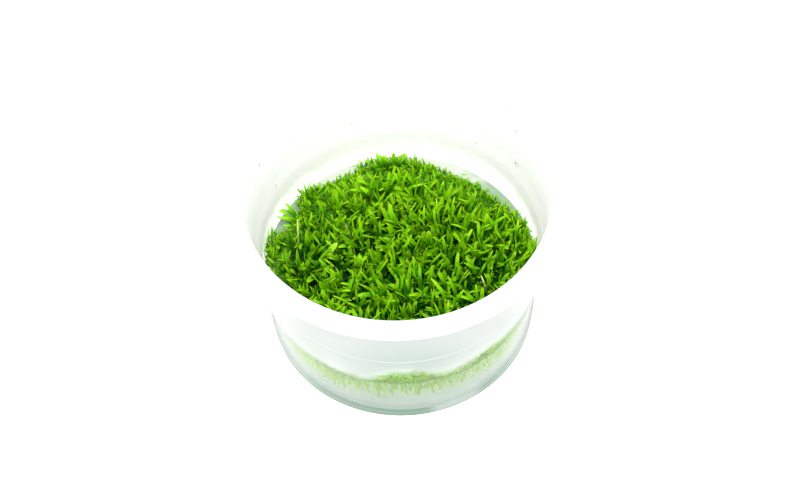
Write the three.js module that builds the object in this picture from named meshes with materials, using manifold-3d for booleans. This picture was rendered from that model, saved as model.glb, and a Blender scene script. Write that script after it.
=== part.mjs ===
// Grassy bladderwort grown in a tissue-culture cup: a moulded plastic cup, the agar gel set in its bottom
// and the carpet of leaf blades that has grown over the gel, with runners hanging down into it.
// Millimetres, +Z up. The origin is the centre of the cup's underside, and -Y is the front.

import * as THREE from 'three';
import { mergeVertices } from 'three/addons/utils/BufferGeometryUtils.js';
import Module from 'manifold-3d';

const wasm = await Module();
wasm.setup();

// The cup's driving dimensions.
const CUP_HEIGHT = 62.2;
const BASE_RADIUS = 42;
const MOUTH_RADIUS = 45;
const WALL = 0.6;
const FLOOR_THICKNESS = 1;
const BASE_CORNER = 0.7;
const INSIDE_CORNER = 3;
const SHOULDER_HEIGHT = 36.8;
const SHOULDER_STEP = 0.35;
const SHOULDER_RISE = 0.7;
const FLANGE_RADIUS = 50.95;
const FLANGE_THICKNESS = 0.9;
const LIP_WIDTH = 0.9;
const LIP_DROP = 1.35;
const RIM_ROUND = 0.35;

// The gel and the carpet.
const GAP = 0.3;
const GEL_TOP = 21.5;
const CARPET_RADIUS = 42;
const CARPET_TOP = 24.7;
const CARPET_EDGE_TOP = 24;
const CARPET_LUMP = 0.7;
const BLADE_COUNT = 186;
const BLADE_LENGTH = [5.6, 7.6];
const BLADE_WIDTH = [3.2, 4.4];
const BLADE_THICKNESS = 1;
const BLADE_LEAN = [14, 46];
const BLADE_ROOT = 1.4;
const BLADE_BOW = 0.9;
const BLADE_FOOT_SHARE = 0.7;
const BLADE_FIELD = 0.966;
const TUFT = {
  angle: 90, radius: 35.6, spread: 0.64, blades: 6, length: 6.6, width: 2.1, lean: 14, root: 0.8,
};
const RUNNER_COUNT = 18;
const RUNNER_LENGTH = [6, 11.6];
const RUNNER_RADIUS = 0.75;
const RUNNER_RING = 38.6;
const RUNNER_INSET = 1.2;
const RUNNER_ROOT = 1.2;
const RUNNER_LEAN = [-9, 9];

// Places where the carpet stops short of the wall and the gel shows: middle angle, half width, depth.
const BAYS = [
  { angle: 72, half: 50, depth: 3.6 },
  { angle: 90, half: 95, depth: 1 },
  { angle: 153, half: 10, depth: 4.8 },
];

// How finely round shapes are divided.
const ROUND_STEPS = 60;
const CARPET_STEPS = 44;
const CARPET_RINGS = 6;
const CORNER_STEPS = 2;
const WELD = 1e-4;
const GOLDEN_ANGLE = Math.PI * (3 - Math.sqrt(5));
const SEED = 41;

const TAPER = (MOUTH_RADIUS + WALL - SHOULDER_STEP - BASE_RADIUS) / CUP_HEIGHT;
const CARPET_UNDERSIDE = GEL_TOP + GAP;

const cupPlastic = new THREE.MeshStandardMaterial({
  color: 0xe2eee9, roughness: 0.32, metalness: 0, transparent: true, opacity: 0.45, side: THREE.DoubleSide,
});
const agar = new THREE.MeshStandardMaterial({
  color: 0xc6ddd2, roughness: 0.12, metalness: 0, transparent: true, opacity: 0.6,
});
const leafGreen = new THREE.MeshStandardMaterial({ color: 0x6aa814, roughness: 0.45, metalness: 0 });

// A repeatable random number from 0 to 1.
let randomState = SEED;
function random() {
  randomState = (randomState * 1664525 + 1013904223) % 4294967296;
  return randomState / 4294967296;
}

function between([low, high]) {
  return THREE.MathUtils.lerp(low, high, random());
}

// Joins the vertices that share a place and drops the triangles that this leaves without an area.
function welded(geometry) {
  geometry.deleteAttribute('normal');
  geometry.deleteAttribute('uv');
  const merged = mergeVertices(geometry, WELD);
  const corners = Array.from(merged.index.array);
  const kept = [];
  for (let i = 0; i < corners.length; i += 3) {
    const triangle = corners.slice(i, i + 3);
    if (new Set(triangle).size === 3) {
      kept.push(...triangle);
    }
  }
  merged.setIndex(kept);
  return merged;
}

// A profile of radius and height, turned about the upright axis.
function turned(profilePoints, steps) {
  const geometry = new THREE.LatheGeometry(profilePoints, steps);
  geometry.rotateX(Math.PI / 2);
  return welded(geometry);
}

function solid(geometry) {
  return new wasm.Manifold(new wasm.Mesh({
    numProp: 3,
    vertProperties: new Float32Array(geometry.attributes.position.array),
    triVerts: new Uint32Array(geometry.index.array),
  }));
}

function geometryOf(manifold) {
  const mesh = manifold.getMesh();
  const geometry = new THREE.BufferGeometry();
  geometry.setAttribute('position', new THREE.BufferAttribute(mesh.vertProperties, 3));
  geometry.setIndex(new THREE.BufferAttribute(mesh.triVerts, 1));
  return geometry;
}

function named(name, geometry, material) {
  geometry.computeVertexNormals();
  const mesh = new THREE.Mesh(geometry, material);
  mesh.name = name;
  return mesh;
}

// The wall's outside radius at a height: a straight taper that steps out at the shoulder.
function outsideRadius(height) {
  const step = THREE.MathUtils.clamp((height - SHOULDER_HEIGHT) / SHOULDER_RISE, 0, 1) * SHOULDER_STEP;
  return BASE_RADIUS + TAPER * height + step;
}

function insideRadius(height) {
  return outsideRadius(height) - WALL;
}

// The cup: floor, tapered wall with its shoulder, and the flat flange with a small turned-down lip.
function cultureCup() {
  const shoulderTop = SHOULDER_HEIGHT + SHOULDER_RISE;
  const flangeUnderside = CUP_HEIGHT - FLANGE_THICKNESS;
  const lipFoot = CUP_HEIGHT - LIP_DROP;
  const lipInside = FLANGE_RADIUS - LIP_WIDTH;
  const insideCornerTop = FLOOR_THICKNESS + INSIDE_CORNER;
  const profile = new THREE.Path();
  profile.moveTo(0, 0);
  profile.lineTo(BASE_RADIUS - BASE_CORNER, 0);
  profile.quadraticCurveTo(BASE_RADIUS, 0, outsideRadius(BASE_CORNER), BASE_CORNER);
  profile.lineTo(outsideRadius(SHOULDER_HEIGHT), SHOULDER_HEIGHT);
  profile.lineTo(outsideRadius(shoulderTop), shoulderTop);
  profile.lineTo(outsideRadius(flangeUnderside), flangeUnderside);
  profile.lineTo(lipInside, flangeUnderside);
  profile.lineTo(lipInside, lipFoot);
  profile.lineTo(FLANGE_RADIUS, lipFoot);
  profile.lineTo(FLANGE_RADIUS, CUP_HEIGHT - RIM_ROUND);
  profile.quadraticCurveTo(FLANGE_RADIUS, CUP_HEIGHT, FLANGE_RADIUS - RIM_ROUND, CUP_HEIGHT);
  profile.lineTo(MOUTH_RADIUS + RIM_ROUND, CUP_HEIGHT);
  profile.quadraticCurveTo(MOUTH_RADIUS, CUP_HEIGHT, MOUTH_RADIUS, CUP_HEIGHT - RIM_ROUND);
  profile.lineTo(insideRadius(shoulderTop), shoulderTop);
  profile.lineTo(insideRadius(SHOULDER_HEIGHT), SHOULDER_HEIGHT);
  profile.lineTo(insideRadius(insideCornerTop), insideCornerTop);
  profile.quadraticCurveTo(
    insideRadius(FLOOR_THICKNESS), FLOOR_THICKNESS, insideRadius(0) - INSIDE_CORNER, FLOOR_THICKNESS,
  );
  profile.lineTo(0, FLOOR_THICKNESS);
  return turned(profile.getPoints(CORNER_STEPS), ROUND_STEPS);
}

// The gel: it fills the cup's bottom to a level top, clear of the plastic by the gap.
function gelDisc() {
  const underside = FLOOR_THICKNESS + GAP;
  const cornerTop = underside + INSIDE_CORNER;
  const profile = new THREE.Path();
  profile.moveTo(0, underside);
  profile.lineTo(insideRadius(underside) - GAP - INSIDE_CORNER, underside);
  profile.quadraticCurveTo(
    insideRadius(underside) - GAP, underside, insideRadius(cornerTop) - GAP, cornerTop,
  );
  profile.lineTo(insideRadius(GEL_TOP) - GAP, GEL_TOP);
  profile.lineTo(0, GEL_TOP);
  return turned(profile.getPoints(CORNER_STEPS), ROUND_STEPS);
}

// How far out the carpet's thick part reaches in a direction.
function carpetEdge(angle) {
  const degrees = THREE.MathUtils.radToDeg(angle);
  let radius = CARPET_RADIUS;
  for (const bay of BAYS) {
    const turn = THREE.MathUtils.euclideanModulo(degrees - bay.angle + 180, 360) - 180;
    radius -= bay.depth * Math.exp(-((turn / bay.half) ** 4));
  }
  return radius;
}

// The uneven top of the carpet, lower towards its edge.
function carpetTop(x, y) {
  const out = Math.hypot(x, y) / carpetEdge(Math.atan2(y, x));
  const lumps = Math.sin(0.46 * x + 0.9) * Math.cos(0.39 * y - 0.4) + 0.6 * Math.sin(0.27 * (x - y) + 2.1);
  return THREE.MathUtils.lerp(CARPET_TOP, CARPET_EDGE_TOP, out ** 6) + CARPET_LUMP * lumps;
}

// The carpet's thick part: a turned pad, with its edge drawn in at the bays and its top made uneven.
function carpetPad() {
  const profile = [
    new THREE.Vector2(0, CARPET_UNDERSIDE),
    new THREE.Vector2(CARPET_RADIUS, CARPET_UNDERSIDE),
  ];
  for (let ring = CARPET_RINGS; ring >= 0; ring -= 1) {
    profile.push(new THREE.Vector2(CARPET_RADIUS * (ring / CARPET_RINGS), CARPET_TOP));
  }
  const geometry = turned(profile, CARPET_STEPS);
  const place = geometry.attributes.position;
  for (let i = 0; i < place.count; i += 1) {
    const angle = Math.atan2(place.getY(i), place.getX(i));
    const draw = carpetEdge(angle) / CARPET_RADIUS;
    const x = place.getX(i) * draw;
    const y = place.getY(i) * draw;
    const isTop = place.getZ(i) > CARPET_UNDERSIDE + WELD;
    place.setXYZ(i, x, y, isTop ? carpetTop(x, y) : CARPET_UNDERSIDE);
  }
  return geometry;
}

// One blade, upright at the origin: three-sided and flat, narrow at its foot, widest at half its length,
// pointed at its tip and bowed to one side.
function bladeGeometry(length, width, bow) {
  const geometry = welded(new THREE.ConeGeometry(1, length, 3, 2));
  geometry.translate(0, length / 2, 0);
  geometry.rotateX(Math.PI / 2);
  const place = geometry.attributes.position;
  for (let i = 0; i < place.count; i += 1) {
    const along = place.getZ(i) / length;
    const isMiddle = along > WELD && along < 1 - WELD;
    const swell = isMiddle ? 2 : BLADE_FOOT_SHARE;
    const across = place.getX(i) * swell * width * 0.5;
    const through = place.getY(i) * swell * BLADE_THICKNESS * 0.5;
    place.setXYZ(i, across, through + bow * along * along, place.getZ(i));
  }
  return geometry;
}

// Leans a blade, turns it and sets its foot on a place.
function planted(geometry, x, y, z, lean, turn) {
  geometry.rotateX(-lean);
  geometry.rotateZ(turn);
  geometry.translate(x, y, z);
  return geometry;
}

// Blades spread evenly over the carpet. One that would meet the wall leans inwards.
function carpetBlades() {
  const blades = [];
  for (let i = 0; i < BLADE_COUNT; i += 1) {
    const angle = i * GOLDEN_ANGLE;
    const radius = carpetEdge(angle) * Math.sqrt((i + 0.5) / BLADE_COUNT) * BLADE_FIELD;
    const x = radius * Math.cos(angle);
    const y = radius * Math.sin(angle);
    const length = between(BLADE_LENGTH);
    const width = between(BLADE_WIDTH);
    const lean = THREE.MathUtils.degToRad(between(BLADE_LEAN));
    const foot = carpetTop(x, y) - BLADE_ROOT;
    const room = insideRadius(foot) - GAP - width / 2;
    let turn = random() * Math.PI * 2;
    const reach = length * Math.sin(lean) + BLADE_BOW;
    const tip = Math.hypot(x - reach * Math.sin(turn), y + reach * Math.cos(turn));
    if (tip > room) {
      turn = angle + Math.PI / 2;
    }
    blades.push(planted(bladeGeometry(length, width, BLADE_BOW), x, y, foot, lean, turn));
  }
  return blades;
}

// The small tuft that stands up at the back of the carpet.
function tuftBlades() {
  const blades = [];
  const middle = THREE.MathUtils.degToRad(TUFT.angle);
  const lean = THREE.MathUtils.degToRad(TUFT.lean);
  for (let i = 0; i < TUFT.blades; i += 1) {
    const turn = (i / TUFT.blades) * Math.PI * 2;
    const x = TUFT.radius * Math.cos(middle) - TUFT.spread * Math.sin(turn);
    const y = TUFT.radius * Math.sin(middle) + TUFT.spread * Math.cos(turn);
    const foot = carpetTop(x, y) - TUFT.root;
    blades.push(planted(bladeGeometry(TUFT.length, TUFT.width, BLADE_BOW), x, y, foot, lean, turn));
  }
  return blades;
}

// A hanging runner: a thin tapered cone that starts in the carpet and points down into the gel.
function runnerGeometry(runner, extraRadius, extraLength) {
  const length = runner.length + extraLength;
  const geometry = welded(new THREE.ConeGeometry(RUNNER_RADIUS + extraRadius, length, 4, 1));
  geometry.rotateX(-Math.PI / 2);
  geometry.translate(0, 0, -length / 2);
  geometry.rotateX(runner.lean);
  geometry.rotateZ(runner.turn);
  geometry.translate(runner.x, runner.y, CARPET_UNDERSIDE + RUNNER_ROOT);
  return geometry;
}

function runnerPlaces() {
  const runners = [];
  for (let i = 0; i < RUNNER_COUNT; i += 1) {
    const angle = ((i + 0.6 * random()) / RUNNER_COUNT) * Math.PI * 2;
    const radius = Math.min(RUNNER_RING, carpetEdge(angle) - RUNNER_INSET);
    runners.push({
      x: radius * Math.cos(angle),
      y: radius * Math.sin(angle),
      length: between(RUNNER_LENGTH),
      lean: THREE.MathUtils.degToRad(between(RUNNER_LEAN)),
      turn: angle,
    });
  }
  return runners;
}

const runners = runnerPlaces();
const carpetParts = [
  carpetPad(),
  ...carpetBlades(),
  ...tuftBlades(),
  ...runners.map((runner) => runnerGeometry(runner, 0, 0)),
];
const carpet = wasm.Manifold.union(carpetParts.map(solid));

// Each runner hangs in a pocket of the gel that is a gap wider than it is.
let gel = solid(gelDisc());
for (const runner of runners) {
  gel = gel.subtract(solid(runnerGeometry(runner, GAP * Math.SQRT2, 2 * GAP)));
}

const cup = new THREE.Group();
cup.add(named('culture_cup', cultureCup(), cupPlastic));
cup.add(named('agar_gel', geometryOf(gel), agar));
cup.add(named('plant_mat', geometryOf(carpet), leafGreen));

export default cup;
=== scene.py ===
"""Grassy bladderwort grown in a tissue-culture cup: its looks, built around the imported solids.

Lengths are metres. The origin is the centre of the cup's underside, +Z is up and -Y is the front.
"""

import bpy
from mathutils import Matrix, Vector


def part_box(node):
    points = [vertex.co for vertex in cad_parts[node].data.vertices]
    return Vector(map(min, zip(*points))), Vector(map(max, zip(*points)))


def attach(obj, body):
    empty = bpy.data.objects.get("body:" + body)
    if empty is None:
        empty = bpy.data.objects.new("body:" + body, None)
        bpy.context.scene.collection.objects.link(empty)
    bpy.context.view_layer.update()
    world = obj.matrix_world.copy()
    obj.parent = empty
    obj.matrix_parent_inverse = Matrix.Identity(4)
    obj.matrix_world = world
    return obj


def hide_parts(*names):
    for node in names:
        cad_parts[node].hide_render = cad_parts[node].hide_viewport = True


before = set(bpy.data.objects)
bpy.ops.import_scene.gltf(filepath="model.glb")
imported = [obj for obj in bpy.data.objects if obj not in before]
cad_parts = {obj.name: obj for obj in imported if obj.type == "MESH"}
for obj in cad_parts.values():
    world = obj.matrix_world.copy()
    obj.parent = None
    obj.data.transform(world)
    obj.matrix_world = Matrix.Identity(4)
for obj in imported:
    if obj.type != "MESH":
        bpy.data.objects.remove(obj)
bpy.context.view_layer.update()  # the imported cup, gel and plant, in place

import math

import bmesh
import bpy
import numpy as np
from bpy.props import FloatProperty, FloatVectorProperty, IntProperty, PointerProperty
from mathutils import Matrix, Vector

bl_info = {
    "name": "Tissue-culture cup",
    "version": (1, 0, 0),
    "blender": (4, 5, 0),
    "location": "View3D > Sidebar > Culture Cup",
    "description": "Dresses a cup of tissue-cultured grassy bladderwort",
    "category": "Add Mesh",
}

MM = 0.001
BODY = "root"
CUP_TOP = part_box("culture_cup")[1]
GEL_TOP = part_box("agar_gel")[1]

# Places where the carpet stops short of the wall: middle angle and half width in degrees, depth.
BAYS = (
    (14, 14, 0.8 * MM),
    (48, 26, 2.9 * MM),
    (88, 40, 1.6 * MM),
    (90, 95, 1.0 * MM),
    (122, 14, 2.0 * MM),
    (153, 10, 4.4 * MM),
)
DEEP_BAY = 3.6 * MM
# Places where the carpet lies low by the wall: middle angle and half width in degrees, share of the drop.
SINKS = ((217, 38, 1.0), (289, 9, 0.8), (312, 16, 0.35))
# How much lower the leaves end and the haze begins on the front wall: from one place across to another,
# from one drop to another, all in mm. The drops add up.
LEAF_LINE = ((-13, -3, 6.0, 0.0), (3, 11, 0.0, 4.2), (17, 23, 0.0, -2.4))
# Places before the blades that stand out, where the others stay short: across, back and radius in mm.
CLEARINGS = ((-22.4, -0.6, 4.0), (25.2, -14.8, 3.0), (0.0, 33.6, 2.4))
GOLDEN_ANGLE = math.pi * (3 - math.sqrt(5))
BLADE_MARKS = ("blade_tone", "blade_along", "blade_across", "blade_dry")

TABLE_RADIUS = 3.0
LAMP_PLACE = (0.0, -0.14, 0.62)
LAMP_WIDTH = 0.45

# Shades that no setting holds.
WHITE = (1, 1, 1, 1)
SPECKLE = (0.6, 0.7, 0.4, 1)
STRAW = (0.70, 0.70, 0.26, 1)
SHADED_FRESH = (0.09, 0.34, 0.001, 1)
# The tangle: near black as painted shade deep in the carpet, and paler at its brink and towards the back
# as painted light.
SHADED_TANGLE_KNOTS = ((0.0005, 0.012, 0.0005, 1), (0.003, 0.06, 0.001, 1))
TANGLE_PATCH = (0.006, 0.05, 0.002, 1)
LIT_TANGLE_BRINK = (0.10, 0.31, 0.012, 1)
# Painted contact shade along the bottom of the wall, where it meets the table.
PAINTED_CONTACT_SHADE = (0.03, 0.08, 0.04, 1)
# Painted light on the mist: the leaves' green light low at the front, and a rosy tint low at the back
# that cancels it.
LEAF_LIT_MIST = (0.80, 0.96, 0.64, 1)
BACK_MIST = (1.0, 0.95, 1.0, 1)
FLANGE_CLOUD = (0.64, 0.65, 0.645, 1)
GEL_CLOUDS = ((0.93, 1.0, 0.97, 1), (0.97, 1.0, 0.99, 1))
# Painted shade on the gel under the edge of the leaves.
SHADE_UNDER_LEAVES = (0.10, 0.25, 0.03, 1)
WATER = (0.93, 0.98, 0.95, 1)
TABLE_SHADES = ((0.33, 0.33, 0.33, 1), (0.35, 0.35, 0.35, 1))


def length(name, description, default):
    return FloatProperty(name=name, description=description, default=default, unit="LENGTH", precision=5)


def angle(name, description, degrees):
    return FloatProperty(
        name=name, description=description, default=math.radians(degrees), unit="ROTATION"
    )


def number(name, description, default, unit="NONE"):
    return FloatProperty(name=name, description=description, default=default, min=0, unit=unit)


def amount(name, description, default):
    return IntProperty(name=name, description=description, default=default, min=1)


def colour(name, description, default):
    return FloatVectorProperty(
        name=name, description=description, default=default, subtype="COLOR", size=4, min=0, max=1
    )


class CupSettings(bpy.types.PropertyGroup):
    height: length("Height", "From the table to the flange", CUP_TOP.z)
    flange_radius: length("Flange radius", "Outside radius of the flange", CUP_TOP.x)
    mouth_radius: length("Mouth radius", "Inside radius at the rim", 45 * MM)
    base_radius: length("Base radius", "Outside radius at the table", 42 * MM)
    wall: length("Wall", "Thickness of the wall", 0.6 * MM)
    floor: length("Floor", "Thickness of the floor", 1 * MM)
    base_corner: length("Base corner", "Rounding under the wall's foot", 0.8 * MM)
    inside_corner: length("Inside corner", "Rounding where the inside wall meets the floor", 3 * MM)
    shoulder: length("Shoulder height", "Where the wall steps outwards", 36.8 * MM)
    shoulder_step: length("Shoulder step", "How far the wall steps outwards", 0.35 * MM)
    shoulder_rise: length("Shoulder rise", "Height of the step", 0.7 * MM)
    flange_thickness: length("Flange thickness", "Thickness of the flange", 0.9 * MM)
    lip_width: length("Lip width", "Width of the flange's turned-down lip", 0.9 * MM)
    lip_drop: length("Lip drop", "From the flange's top to the lip's foot", 1.35 * MM)
    mist_start: length("Mist start", "Where condensation begins on the inside", 27.0 * MM)
    mist_full: length("Mist full", "Where condensation covers the inside", 34.5 * MM)
    steps: amount("Steps", "Divisions round the cup", 192)
    plastic: colour("Plastic", "Milky plastic", (0.25, 0.39, 0.30, 1))
    haze: colour("Haze", "The thin haze of the plastic beside the gel", (0.60, 0.70, 0.62, 1))
    glow: colour("Glow", "The haze where the leaves light it", (0.58, 0.80, 0.34, 1))
    foot: colour("Foot", "Thick plastic round the base", (0.24, 0.40, 0.30, 1))
    # Painted shade on the plastic where the cup stands and on the middle of its floor.
    sole_shade: colour("Sole", "Plastic at the edge that the cup stands on", (0.10, 0.20, 0.12, 1))
    mist: colour("Mist", "Condensation on the inside", (0.97, 0.955, 0.975, 1))
    flange: colour("Flange", "White flange", (0.60, 0.61, 0.605, 1))


class GelSettings(bpy.types.PropertyGroup):
    top: length("Top", "Level of the gel", GEL_TOP.z)
    creep: length("Creep", "How far the gel climbs the wall", 0.2 * MM)
    clearance: length("Clearance", "Gap to the plastic", 0.06 * MM)
    tint: colour("Tint", "Gel in depth", (0.28, 0.72, 0.30, 1))
    side: colour("At the side", "Gel by the wall at the sides", (0.25, 0.35, 0.25, 1))
    # Painted light: the gel by the wall is paler at the back, where light gathers.
    back: colour("At the back", "Gel by the wall at the back", (0.47, 0.50, 0.44, 1))
    density: number("Density", "How fast the tint deepens", 14.0)


class CarpetSettings(bpy.types.PropertyGroup):
    radius: length("Radius", "Reach of the carpet's thick part", 42.2 * MM)
    ground: length("Ground", "Height of the tangle that the blades stand on", 22.7 * MM)
    plantlets: amount("Plantlets", "Small plants in the carpet", 740)
    plantlet_blades: amount("Blades each", "Blades on a plantlet", 4)
    lower_count: amount("Lower blades", "Small blades below them", 1000)
    wall_count: amount("Wall blades", "Blades against the wall", 1900)
    blade_length: length("Blade length", "Usual length of a blade", 9.0 * MM)
    blade_width: length("Blade width", "Usual width of a blade", 0.96 * MM)
    hanging_count: amount("Hanging tips", "Tips in the gel", 1000)
    runner_count: amount("Runners", "Runners by the wall", 260)
    seed: amount("Seed", "Seed of the plant's growth", 7)
    deep: colour("Deep green", "Shaded blade", (0.001, 0.14, 0.0002, 1))
    fresh: colour("Fresh green", "Blade in the light", (0.153, 0.535, 0.001, 1))
    pale: colour("Pale green", "Young blade and blade tip", (0.39, 0.50, 0.015, 1))


class StageSettings(bpy.types.PropertyGroup):
    distance: length("Distance", "From the camera to the point it looks at", 462.2 * MM)
    aim: length("Aim height", "Height of the point it looks at", 29.7 * MM)
    elevation: angle("Elevation", "Camera above the horizon", 56.0)
    roll: angle("Roll", "Turn of the camera about its own axis", -2.69)
    focal: number("Focal length", "Focal length of the lens", 67.5, "CAMERA")
    sky: number("Sky", "Strength of the even light", 1.1)
    lamp: number("Lamp", "Power of the soft lamp", 4.5, "POWER")
    floor_glow: number("Floor glow", "Light of the light table", 1.15)


class CultureSettings(bpy.types.PropertyGroup):
    cup: PointerProperty(type=CupSettings)
    gel: PointerProperty(type=GelSettings)
    carpet: PointerProperty(type=CarpetSettings)
    stage: PointerProperty(type=StageSettings)


# Shader helpers.


def add(tree, kind, inputs=(), **settings):
    """Adds a shader node, sets it up and fills or links its inputs."""
    made = tree.nodes.new("ShaderNode" + kind)
    for name, value in settings.items():
        setattr(made, name, value)
    for key, value in dict(inputs).items():
        if isinstance(value, bpy.types.NodeSocket):
            tree.links.new(value, made.inputs[key])
        else:
            made.inputs[key].default_value = value
    return made


def feed(tree, shader, sockets):
    """Links what has been worked out to the shader's inputs."""
    for name, socket in sockets.items():
        tree.links.new(socket, shader.inputs[name])


def math_node(tree, operation, a, b, clamp=False):
    return add(tree, "Math", {0: a, 1: b}, operation=operation, use_clamp=clamp).outputs[0]


def times(tree, share, *others):
    """Shares multiplied together."""
    for other in others:
        share = math_node(tree, "MULTIPLY", share, other, True)
    return share


def plus(tree, share, *others):
    """Shares added up, to 1 at most."""
    for other in others:
        share = math_node(tree, "ADD", share, other, True)
    return share


def highest(tree, a, b):
    return math_node(tree, "MAXIMUM", a, b, True)


def mixed(tree, share, a, b, blend="MIX"):
    """Two colours mixed by a share."""
    made = add(tree, "Mix", {0: share, 6: a, 7: b}, data_type="RGBA", blend_type=blend)
    return made.outputs[2]


def layered(tree, body, *layers):
    """A colour with others laid over it, each by its share."""
    for share, shade in layers:
        body = mixed(tree, share, body, shade)
    return body


def spread(tree, value, low, high, to_low=0.0, to_high=1.0):
    """A value taken smoothly from one range to another."""
    ranges = {0: value, 1: low, 2: high, 3: to_low, 4: to_high}
    return add(tree, "MapRange", ranges, interpolation_type="SMOOTHSTEP").outputs[0]


def band(tree, value, low, high, to_low=0.0, to_high=1.0):
    """The same for a length, over a range in mm."""
    return spread(tree, value, low * MM, high * MM, to_low, to_high)


def noise(tree, vector, scale, detail=3.0, roughness=0.5):
    inputs = {"Vector": vector, "Scale": scale, "Detail": detail, "Roughness": roughness}
    return add(tree, "TexNoise", inputs).outputs[0]


def object_place(tree):
    """The place on the piece."""
    return add(tree, "TexCoord").outputs["Object"]


def split_place(tree, place):
    """How far a place is across, back and up."""
    return add(tree, "SeparateXYZ", {0: place}).outputs[:]


def axis_distance(tree, place):
    """How far a place is from the upright axis."""
    flat = add(tree, "VectorMath", {0: place, 1: (1, 1, 0)}, operation="MULTIPLY").outputs[0]
    return add(tree, "VectorMath", {0: flat}, operation="LENGTH").outputs["Value"]


def aslant_share(tree):
    """From 0 where the surface faces the eye to 1 where it is seen edge on."""
    return add(tree, "LayerWeight", {"Blend": 0.5}).outputs["Facing"]


def new_group(name, inputs, outputs):
    """An empty shader node group with named sockets, each input's kind and value given."""
    group = bpy.data.node_groups.new(name, "ShaderNodeTree")
    for socket, (kind, default) in inputs.items():
        made = group.interface.new_socket(socket, in_out="INPUT", socket_type=kind)
        made.default_value = default
    for socket, kind in outputs.items():
        group.interface.new_socket(socket, in_out="OUTPUT", socket_type=kind)
    return group, group.nodes.new("NodeGroupInput"), group.nodes.new("NodeGroupOutput")


def blade_tone_group():
    """Colour of a blade: its own tone, which also carries painted light and shade, paler to its edges and
    tip, darker towards its foot as painted shade, and straw where it has dried.
    """
    name = "Blade tone"
    if name in bpy.data.node_groups:
        return bpy.data.node_groups[name]
    grey = ("NodeSocketColor", (0.5, 0.5, 0.5, 1))
    group, given, result = new_group(
        name,
        {"Deep": grey, "Fresh": grey, "Pale": grey},
        {"Color": "NodeSocketColor", "Roughness": "NodeSocketFloat", "Height": "NodeSocketFloat"},
    )
    deep, fresh, pale = given.outputs[:3]
    tone, along, across, dry = (
        add(group, "Attribute", attribute_name=mark).outputs["Fac"] for mark in BLADE_MARKS
    )
    place = object_place(group)
    fine = noise(group, place, 1400.0, 2.0)
    patch = noise(group, place, 160.0, 1.0)
    # Painted shade: darker towards the blade's foot.
    shaded_foot = spread(group, along, 0.2, 0.88, -1.1, 0.0)
    lit = math_node(group, "ADD", tone, shaded_foot)
    lit = plus(group, lit, spread(group, patch, 0.3, 0.7, -0.12, 0.14))
    edge = spread(group, across, 0.35, 1.0, 0.0, 0.3)
    tip = spread(group, along, 0.6, 1.0, 0.0, 0.4)
    body = mixed(group, lit, deep, fresh)
    body = mixed(group, times(group, plus(group, edge, tip), tone), body, pale)
    body = mixed(group, spread(group, fine, 0.3, 0.7, 0.18, 0.0), body, SPECKLE, "MULTIPLY")
    rough = spread(group, fine, 0.2, 0.8, 0.36, 0.55)
    feed(group, result, {"Color": mixed(group, dry, body, STRAW), "Roughness": rough, "Height": fine})
    return group


def moulding_group():
    """The slight unevenness of moulded plastic and set gel."""
    name = "Moulding"
    if name in bpy.data.node_groups:
        return bpy.data.node_groups[name]
    number = "NodeSocketFloat"
    group, given, result = new_group(
        name,
        {"Scale": (number, 60.0), "Smooth": (number, 0.1), "Rough": (number, 0.3)},
        {"Roughness": number, "Height": number},
    )
    scale, smooth, rough = given.outputs[:3]
    wave = noise(group, object_place(group), scale, 2.0)
    feed(group, result, {"Roughness": spread(group, wave, 0.3, 0.7, smooth, rough), "Height": wave})
    return group


def new_material(name, **values):
    """A material with its Principled shader, whose plain values are given."""
    material = bpy.data.materials.new(name)
    material.use_nodes = True
    shader = material.node_tree.nodes["Principled BSDF"]
    for key, value in values.items():
        shader.inputs[key.replace("_", " ")].default_value = value
    return material, material.node_tree, shader


def grouped(tree, group, **inputs):
    return add(tree, "Group", inputs, node_tree=group)


def bumped(tree, shader, height, strength, distance):
    bump = add(tree, "Bump", {"Height": height, "Strength": strength, "Distance": distance})
    feed(tree, shader, {"Normal": bump.outputs[0]})


def moulded(tree, shader, strength, scale, smooth, rough):
    """Gives a surface the gloss and the slight waves of moulded plastic or set gel."""
    moulding = grouped(tree, moulding_group(), Scale=scale, Smooth=smooth, Rough=rough)
    feed(tree, shader, {"Roughness": moulding.outputs["Roughness"]})
    bumped(tree, shader, moulding.outputs["Height"], strength, 1 * MM)


def over_leaves(tree, across, depth, height):
    """Height on the wall, counted higher where the leaves end lower, at the sides of the front."""
    front = band(tree, depth, -8, 8, 1.0, 0.0)
    for low, high, left, right in LEAF_LINE:
        drop = band(tree, across, low, high, left * MM, right * MM)
        height = math_node(tree, "ADD", height, math_node(tree, "MULTIPLY", drop, front))
    return height


def lit_haze(tree, cup, height, rise):
    """The thin haze of the plastic, with the green light that the leaves throw on the wall."""
    share = times(tree, band(tree, height, 10, 18), band(tree, rise, 27, 32, 1.0, 0.0))
    return mixed(tree, share, cup.haze, cup.glow)


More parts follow.
